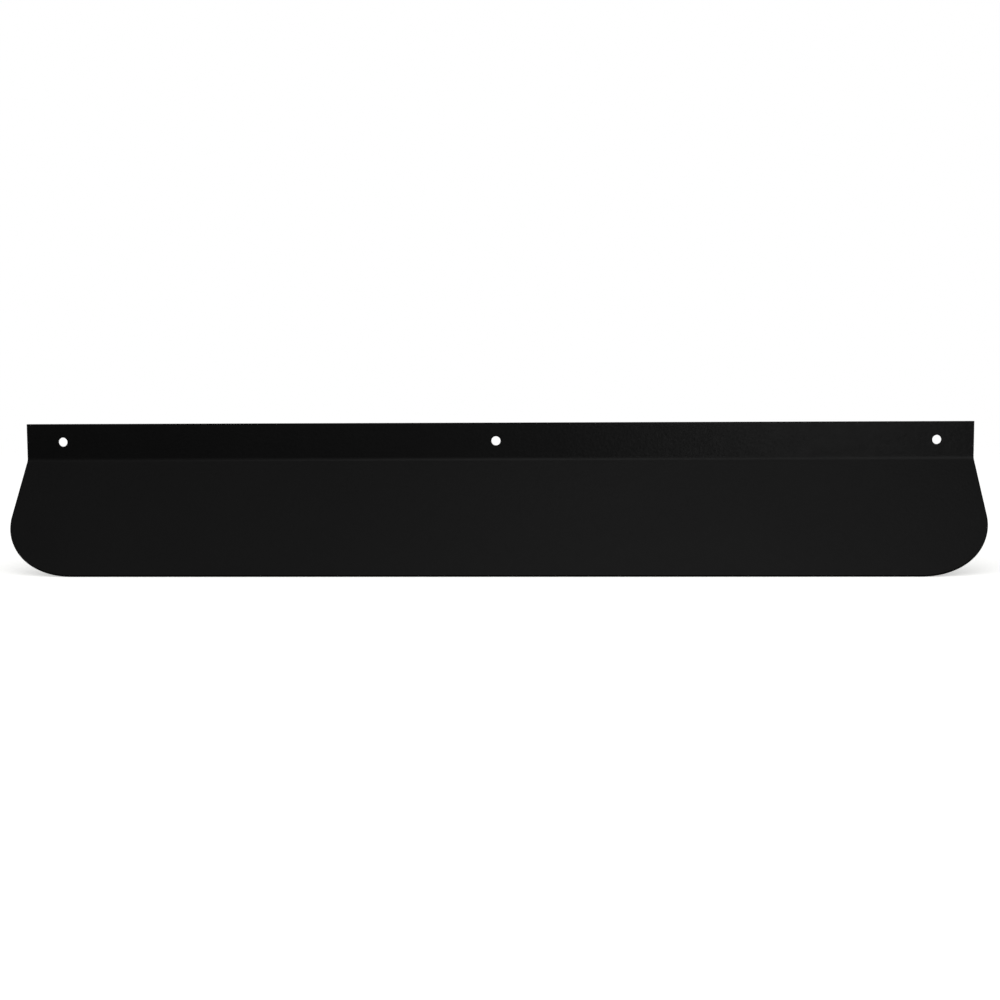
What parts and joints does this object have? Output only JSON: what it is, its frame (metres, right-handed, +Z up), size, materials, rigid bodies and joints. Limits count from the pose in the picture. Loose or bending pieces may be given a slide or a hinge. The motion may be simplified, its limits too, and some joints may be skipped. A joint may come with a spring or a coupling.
{
  "type": "kick plate",
  "caption": "Long folded sheet-steel kick plate: an upright screw flange with round holes above a wide blade that slopes forward and has large rounded lower corners.",
  "frame": {"origin": "on the back face of the flange, midway along the plate, halfway between the fold line and the line of the screw holes", "axes": "+X along the plate to the right as seen from the front, +Y from the back of the flange into the surface that it is screwed to, +Z up the flange; the blade slopes towards -Y as it goes down"},
  "size_m": [0.6604, 0.0736, 0.0985],
  "materials": {
    "black_powder_coat": "satin black powder coat with a fine orange peel, on sheet steel"
  },
  "bodies": {
    "root": {"kick_plate": "black_powder_coat"}
  },
  "joints": []
}
